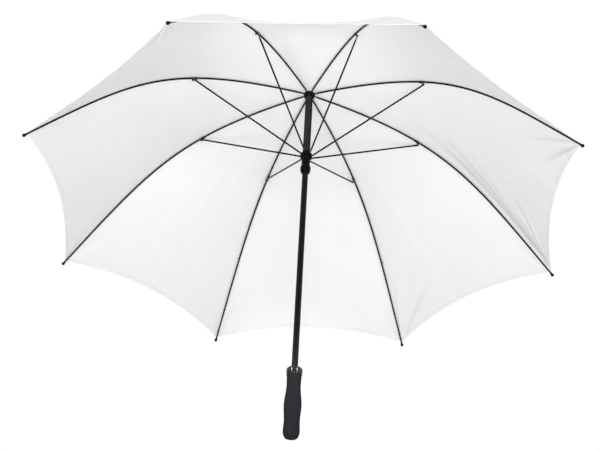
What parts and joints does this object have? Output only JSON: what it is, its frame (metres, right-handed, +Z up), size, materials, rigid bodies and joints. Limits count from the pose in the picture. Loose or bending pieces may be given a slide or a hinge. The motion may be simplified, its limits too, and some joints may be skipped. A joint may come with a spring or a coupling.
{
  "type": "golf umbrella",
  "caption": "Open manual golf umbrella: white gored canopy on curved black ribs, straight stretchers, sliding runner, tube shaft, pointed ferrule and contoured foam grip.",
  "frame": {"origin": "centre of the hand's grip on the shaft's axis, midway along the foam grip", "axes": "+Z up the shaft towards the ferrule; the ribs stand at 22.5 degrees and every 45 degrees from +X"},
  "size_m": [1.2038, 1.2038, 0.997],
  "materials": {
    "canopy": "plain-weave white polyester, faint sheen",
    "rib": "black glass fibre, satin gloss",
    "stretcher": "black painted steel, satin",
    "steel": "black oxide spring steel",
    "shaft": "black painted steel tube, semi-gloss",
    "plastic": "black moulded plastic, semi-matt",
    "gloss": "black polished plastic",
    "foam": "matt charcoal closed-cell foam"
  },
  "bodies": {
    "shaft": {"shaft_tube": "shaft", "top_notch": "plastic", "notch_wire": "steel", "ferrule": "plastic", "canopy_cap": "plastic", "grip_foam": "foam", "grip_core": "plastic", "grip_collar": "gloss"},
    "top_catch": {"top_catch": "steel"},
    "bottom_catch": {"bottom_catch": "steel"},
    "runner": {"runner_body": "plastic", "runner_wire": "steel"},
    "rib_in_1": {"rib_inner_1": "rib"},
    "rib_out_1": {"rib_outer_1": "rib", "rib_tip_1": "plastic"},
    "stretcher_1": {"stretcher_1": "stretcher"},
    "gore_in_1": {"gore_inner_1": "canopy"},
    "gore_out_1": {"gore_outer_1": "canopy"},
    "rib_in_2": {"rib_inner_2": "rib"},
    "rib_out_2": {"rib_outer_2": "rib", "rib_tip_2": "plastic"},
    "stretcher_2": {"stretcher_2": "stretcher"},
    "gore_in_2": {"gore_inner_2": "canopy"},
    "gore_out_2": {"gore_outer_2": "canopy"},
    "rib_in_3": {"rib_inner_3": "rib"},
    "rib_out_3": {"rib_outer_3": "rib", "rib_tip_3": "plastic"},
    "stretcher_3": {"stretcher_3": "stretcher"},
    "gore_in_3": {"gore_inner_3": "canopy"},
    "gore_out_3": {"gore_outer_3": "canopy"},
    "rib_in_4": {"rib_inner_4": "rib"},
    "rib_out_4": {"rib_outer_4": "rib", "rib_tip_4": "plastic"},
    "stretcher_4": {"stretcher_4": "stretcher"},
    "gore_in_4": {"gore_inner_4": "canopy"},
    "gore_out_4": {"gore_outer_4": "canopy"},
    "rib_in_5": {"rib_inner_5": "rib"},
    "rib_out_5": {"rib_outer_5": "rib", "rib_tip_5": "plastic"},
    "stretcher_5": {"stretcher_5": "stretcher"},
    "gore_in_5": {"gore_inner_5": "canopy"},
    "gore_out_5": {"gore_outer_5": "canopy"},
    "rib_in_6": {"rib_inner_6": "rib"},
    "rib_out_6": {"rib_outer_6": "rib", "rib_tip_6": "plastic"},
    "stretcher_6": {"stretcher_6": "stretcher"},
    "gore_in_6": {"gore_inner_6": "canopy"},
    "gore_out_6": {"gore_outer_6": "canopy"},
    "rib_in_7": {"rib_inner_7": "rib"},
    "rib_out_7": {"rib_outer_7": "rib", "rib_tip_7": "plastic"},
    "stretcher_7": {"stretcher_7": "stretcher"},
    "gore_in_7": {"gore_inner_7": "canopy"},
    "gore_out_7": {"gore_outer_7": "canopy"},
    "rib_in_8": {"rib_inner_8": "rib"},
    "rib_out_8": {"rib_outer_8": "rib", "rib_tip_8": "plastic"},
    "stretcher_8": {"stretcher_8": "stretcher"},
    "gore_in_8": {"gore_inner_8": "canopy"},
    "gore_out_8": {"gore_outer_8": "canopy"}
  },
  "joints": [
    {"name": "runner_slide", "type": "slide", "parent": "shaft", "child": "runner", "axis": [0, 0, -1], "range_m": [0, 0.4076]},
    {"name": "top_catch_press", "type": "hinge", "parent": "shaft", "child": "top_catch", "pos_m": [0.0012, -0.00329, 0.5646], "axis": [-0.9397, -0.342, 0], "range_deg": [-5, 0], "stiffness_Nm_per_rad": 0.6, "springref_deg": 6.88},
    {"name": "bottom_catch_press", "type": "hinge", "parent": "shaft", "child": "bottom_catch", "pos_m": [0.0012, -0.00329, 0.241], "axis": [-0.9397, -0.342, 0], "range_deg": [0, 5], "stiffness_Nm_per_rad": 0.6, "springref_deg": -6.88},
    {"name": "rib_hinge_1", "type": "hinge", "parent": "shaft", "child": "rib_in_1", "pos_m": [0.01063, 0.0044, 0.845], "axis": [-0.3827, 0.9239, 0], "range_deg": [0, 78.5]},
    {"name": "rib_bend_1", "type": "hinge", "parent": "rib_in_1", "child": "rib_out_1", "pos_m": [0.27208, 0.1127, 0.79243], "axis": [-0.3827, 0.9239, 0], "range_deg": [-28.8, 0]},
    {"name": "stretcher_hinge_1", "type": "hinge", "parent": "runner", "child": "stretcher_1", "pos_m": [0.00863, 0.00791, 0.6536], "axis": [-0.3827, 0.9239, 0], "range_deg": [-64.45, 0]},
    {"name": "gore_fold_1", "type": "hinge", "parent": "shaft", "child": "gore_in_1", "pos_m": [0.00751, 0.00751, 0.845], "axis": [-0.7071, 0.7071, 0], "range_deg": [0, 77.66], "deforming": ["gore_inner_1"]},
    {"name": "gore_bend_1", "type": "hinge", "parent": "gore_in_1", "child": "gore_out_1", "pos_m": [0.19239, 0.19239, 0.79243], "axis": [-0.7071, 0.7071, 0], "range_deg": [-30.2, 0], "deforming": ["gore_outer_1"]},
    {"name": "rib_hinge_2", "type": "hinge", "parent": "shaft", "child": "rib_in_2", "pos_m": [0.0044, 0.01063, 0.845], "axis": [-0.9239, 0.3827, 0], "range_deg": [0, 78.5]},
    {"name": "rib_bend_2", "type": "hinge", "parent": "rib_in_2", "child": "rib_out_2", "pos_m": [0.1127, 0.27208, 0.79243], "axis": [-0.9239, 0.3827, 0], "range_deg": [-28.8, 0]},
    {"name": "stretcher_hinge_2", "type": "hinge", "parent": "runner", "child": "stretcher_2", "pos_m": [0.00051, 0.01169, 0.6536], "axis": [-0.9239, 0.3827, 0], "range_deg": [-64.45, 0]},
    {"name": "gore_fold_2", "type": "hinge", "parent": "shaft", "child": "gore_in_2", "pos_m": [0, 0.01063, 0.845], "axis": [-1, 0, 0], "range_deg": [0, 77.66], "deforming": ["gore_inner_2"]},
    {"name": "gore_bend_2", "type": "hinge", "parent": "gore_in_2", "child": "gore_out_2", "pos_m": [0, 0.27208, 0.79243], "axis": [-1, 0, 0], "range_deg": [-30.2, 0], "deforming": ["gore_outer_2"]},
    {"name": "rib_hinge_3", "type": "hinge", "parent": "shaft", "child": "rib_in_3", "pos_m": [-0.0044, 0.01063, 0.845], "axis": [-0.9239, -0.3827, 0], "range_deg": [0, 78.5]},
    {"name": "rib_bend_3", "type": "hinge", "parent": "rib_in_3", "child": "rib_out_3", "pos_m": [-0.1127, 0.27208, 0.79243], "axis": [-0.9239, -0.3827, 0], "range_deg": [-28.8, 0]},
    {"name": "stretcher_hinge_3", "type": "hinge", "parent": "runner", "child": "stretcher_3", "pos_m": [-0.00791, 0.00863, 0.6536], "axis": [-0.9239, -0.3827, 0], "range_deg": [-64.45, 0]},
    {"name": "gore_fold_3", "type": "hinge", "parent": "shaft", "child": "gore_in_3", "pos_m": [-0.00751, 0.00751, 0.845], "axis": [-0.7071, -0.7071, 0], "range_deg": [0, 77.66], "deforming": ["gore_inner_3"]},
    {"name": "gore_bend_3", "type": "hinge", "parent": "gore_in_3", "child": "gore_out_3", "pos_m": [-0.19239, 0.19239, 0.79243], "axis": [-0.7071, -0.7071, 0], "range_deg": [-30.2, 0], "deforming": ["gore_outer_3"]},
    {"name": "rib_hinge_4", "type": "hinge", "parent": "shaft", "child": "rib_in_4", "pos_m": [-0.01063, 0.0044, 0.845], "axis": [-0.3827, -0.9239, 0], "range_deg": [0, 78.5]},
    {"name": "rib_bend_4", "type": "hinge", "parent": "rib_in_4", "child": "rib_out_4", "pos_m": [-0.27208, 0.1127, 0.79243], "axis": [-0.3827, -0.9239, 0], "range_deg": [-28.8, 0]},
    {"name": "stretcher_hinge_4", "type": "hinge", "parent": "runner", "child": "stretcher_4", "pos_m": [-0.01169, 0.00051, 0.6536], "axis": [-0.3827, -0.9239, 0], "range_deg": [-64.45, 0]},
    {"name": "gore_fold_4", "type": "hinge", "parent": "shaft", "child": "gore_in_4", "pos_m": [-0.01063, 0, 0.845], "axis": [0, -1, 0], "range_deg": [0, 77.66], "deforming": ["gore_inner_4"]},
    {"name": "gore_bend_4", "type": "hinge", "parent": "gore_in_4", "child": "gore_out_4", "pos_m": [-0.27208, 0, 0.79243], "axis": [0, -1, 0], "range_deg": [-30.2, 0], "deforming": ["gore_outer_4"]},
    {"name": "rib_hinge_5", "type": "hinge", "parent": "shaft", "child": "rib_in_5", "pos_m": [-0.01063, -0.0044, 0.845], "axis": [0.3827, -0.9239, 0], "range_deg": [0, 78.5]},
    {"name": "rib_bend_5", "type": "hinge", "parent": "rib_in_5", "child": "rib_out_5", "pos_m": [-0.27208, -0.1127, 0.79243], "axis": [0.3827, -0.9239, 0], "range_deg": [-28.8, 0]},
    {"name": "stretcher_hinge_5", "type": "hinge", "parent": "runner", "child": "stretcher_5", "pos_m": [-0.00863, -0.00791, 0.6536], "axis": [0.3827, -0.9239, 0], "range_deg": [-64.45, 0]},
    {"name": "gore_fold_5", "type": "hinge", "parent": "shaft", "child": "gore_in_5", "pos_m": [-0.00751, -0.00751, 0.845], "axis": [0.7071, -0.7071, 0], "range_deg": [0, 77.66], "deforming": ["gore_inner_5"]},
    {"name": "gore_bend_5", "type": "hinge", "parent": "gore_in_5", "child": "gore_out_5", "pos_m": [-0.19239, -0.19239, 0.79243], "axis": [0.7071, -0.7071, 0], "range_deg": [-30.2, 0], "deforming": ["gore_outer_5"]},
    {"name": "rib_hinge_6", "type": "hinge", "parent": "shaft", "child": "rib_in_6", "pos_m": [-0.0044, -0.01063, 0.845], "axis": [0.9239, -0.3827, 0], "range_deg": [0, 78.5]},
    {"name": "rib_bend_6", "type": "hinge", "parent": "rib_in_6", "child": "rib_out_6", "pos_m": [-0.1127, -0.27208, 0.79243], "axis": [0.9239, -0.3827, 0], "range_deg": [-28.8, 0]},
    {"name": "stretcher_hinge_6", "type": "hinge", "parent": "runner", "child": "stretcher_6", "pos_m": [-0.00051, -0.01169, 0.6536], "axis": [0.9239, -0.3827, 0], "range_deg": [-64.45, 0]},
    {"name": "gore_fold_6", "type": "hinge", "parent": "shaft", "child": "gore_in_6", "pos_m": [0, -0.01063, 0.845], "axis": [1, 0, 0], "range_deg": [0, 77.66], "deforming": ["gore_inner_6"]},
    {"name": "gore_bend_6", "type": "hinge", "parent": "gore_in_6", "child": "gore_out_6", "pos_m": [0, -0.27208, 0.79243], "axis": [1, 0, 0], "range_deg": [-30.2, 0], "deforming": ["gore_outer_6"]},
    {"name": "rib_hinge_7", "type": "hinge", "parent": "shaft", "child": "rib_in_7", "pos_m": [0.0044, -0.01063, 0.845], "axis": [0.9239, 0.3827, 0], "range_deg": [0, 78.5]},
    {"name": "rib_bend_7", "type": "hinge", "parent": "rib_in_7", "child": "rib_out_7", "pos_m": [0.1127, -0.27208, 0.79243], "axis": [0.9239, 0.3827, 0], "range_deg": [-28.8, 0]},
    {"name": "stretcher_hinge_7", "type": "hinge", "parent": "runner", "child": "stretcher_7", "pos_m": [0.00791, -0.00863, 0.6536], "axis": [0.9239, 0.3827, 0], "range_deg": [-64.45, 0]},
    {"name": "gore_fold_7", "type": "hinge", "parent": "shaft", "child": "gore_in_7", "pos_m": [0.00751, -0.00751, 0.845], "axis": [0.7071, 0.7071, 0], "range_deg": [0, 77.66], "deforming": ["gore_inner_7"]},
    {"name": "gore_bend_7", "type": "hinge", "parent": "gore_in_7", "child": "gore_out_7", "pos_m": [0.19239, -0.19239, 0.79243], "axis": [0.7071, 0.7071, 0], "range_deg": [-30.2, 0], "deforming": ["gore_outer_7"]},
    {"name": "rib_hinge_8", "type": "hinge", "parent": "shaft", "child": "rib_in_8", "pos_m": [0.01063, -0.0044, 0.845], "axis": [0.3827, 0.9239, 0], "range_deg": [0, 78.5]},
    {"name": "rib_bend_8", "type": "hinge", "parent": "rib_in_8", "child": "rib_out_8", "pos_m": [0.27208, -0.1127, 0.79243], "axis": [0.3827, 0.9239, 0], "range_deg": [-28.8, 0]},
    {"name": "stretcher_hinge_8", "type": "hinge", "parent": "runner", "child": "stretcher_8", "pos_m": [0.01169, -0.00051, 0.6536], "axis": [0.3827, 0.9239, 0], "range_deg": [-64.45, 0]},
    {"name": "gore_fold_8", "type": "hinge", "parent": "shaft", "child": "gore_in_8", "pos_m": [0.01063, 0, 0.845], "axis": [0, 1, 0], "range_deg": [0, 77.66], "deforming": ["gore_inner_8"]},
    {"name": "gore_bend_8", "type": "hinge", "parent": "gore_in_8", "child": "gore_out_8", "pos_m": [0.27208, 0, 0.79243], "axis": [0, 1, 0], "range_deg": [-30.2, 0], "deforming": ["gore_outer_8"]}
  ],
  "couplings": [
    {"joint": "rib_hinge_1", "follows": "runner_slide", "rad_per_m": 3.3605},
    {"joint": "rib_bend_1", "follows": "runner_slide", "rad_per_m": -1.2321},
    {"joint": "stretcher_hinge_1", "follows": "runner_slide", "rad_per_m": -2.7589},
    {"joint": "gore_fold_1", "follows": "runner_slide", "rad_per_m": 3.3245},
    {"joint": "gore_bend_1", "follows": "runner_slide", "rad_per_m": -1.2922},
    {"joint": "rib_hinge_2", "follows": "runner_slide", "rad_per_m": 3.3605},
    {"joint": "rib_bend_2", "follows": "runner_slide", "rad_per_m": -1.2321},
    {"joint": "stretcher_hinge_2", "follows": "runner_slide", "rad_per_m": -2.7589},
    {"joint": "gore_fold_2", "follows": "runner_slide", "rad_per_m": 3.3245},
    {"joint": "gore_bend_2", "follows": "runner_slide", "rad_per_m": -1.2922},
    {"joint": "rib_hinge_3", "follows": "runner_slide", "rad_per_m": 3.3605},
    {"joint": "rib_bend_3", "follows": "runner_slide", "rad_per_m": -1.2321},
    {"joint": "stretcher_hinge_3", "follows": "runner_slide", "rad_per_m": -2.7589},
    {"joint": "gore_fold_3", "follows": "runner_slide", "rad_per_m": 3.3245},
    {"joint": "gore_bend_3", "follows": "runner_slide", "rad_per_m": -1.2922},
    {"joint": "rib_hinge_4", "follows": "runner_slide", "rad_per_m": 3.3605},
    {"joint": "rib_bend_4", "follows": "runner_slide", "rad_per_m": -1.2321},
    {"joint": "stretcher_hinge_4", "follows": "runner_slide", "rad_per_m": -2.7589},
    {"joint": "gore_fold_4", "follows": "runner_slide", "rad_per_m": 3.3245},
    {"joint": "gore_bend_4", "follows": "runner_slide", "rad_per_m": -1.2922},
    {"joint": "rib_hinge_5", "follows": "runner_slide", "rad_per_m": 3.3605},
    {"joint": "rib_bend_5", "follows": "runner_slide", "rad_per_m": -1.2321},
    {"joint": "stretcher_hinge_5", "follows": "runner_slide", "rad_per_m": -2.7589},
    {"joint": "gore_fold_5", "follows": "runner_slide", "rad_per_m": 3.3245},
    {"joint": "gore_bend_5", "follows": "runner_slide", "rad_per_m": -1.2922},
    {"joint": "rib_hinge_6", "follows": "runner_slide", "rad_per_m": 3.3605},
    {"joint": "rib_bend_6", "follows": "runner_slide", "rad_per_m": -1.2321},
    {"joint": "stretcher_hinge_6", "follows": "runner_slide", "rad_per_m": -2.7589},
    {"joint": "gore_fold_6", "follows": "runner_slide", "rad_per_m": 3.3245},
    {"joint": "gore_bend_6", "follows": "runner_slide", "rad_per_m": -1.2922},
    {"joint": "rib_hinge_7", "follows": "runner_slide", "rad_per_m": 3.3605},
    {"joint": "rib_bend_7", "follows": "runner_slide", "rad_per_m": -1.2321},
    {"joint": "stretcher_hinge_7", "follows": "runner_slide", "rad_per_m": -2.7589},
    {"joint": "gore_fold_7", "follows": "runner_slide", "rad_per_m": 3.3245},
    {"joint": "gore_bend_7", "follows": "runner_slide", "rad_per_m": -1.2922},
    {"joint": "rib_hinge_8", "follows": "runner_slide", "rad_per_m": 3.3605},
    {"joint": "rib_bend_8", "follows": "runner_slide", "rad_per_m": -1.2321},
    {"joint": "stretcher_hinge_8", "follows": "runner_slide", "rad_per_m": -2.7589},
    {"joint": "gore_fold_8", "follows": "runner_slide", "rad_per_m": 3.3245},
    {"joint": "gore_bend_8", "follows": "runner_slide", "rad_per_m": -1.2922}
  ]
}
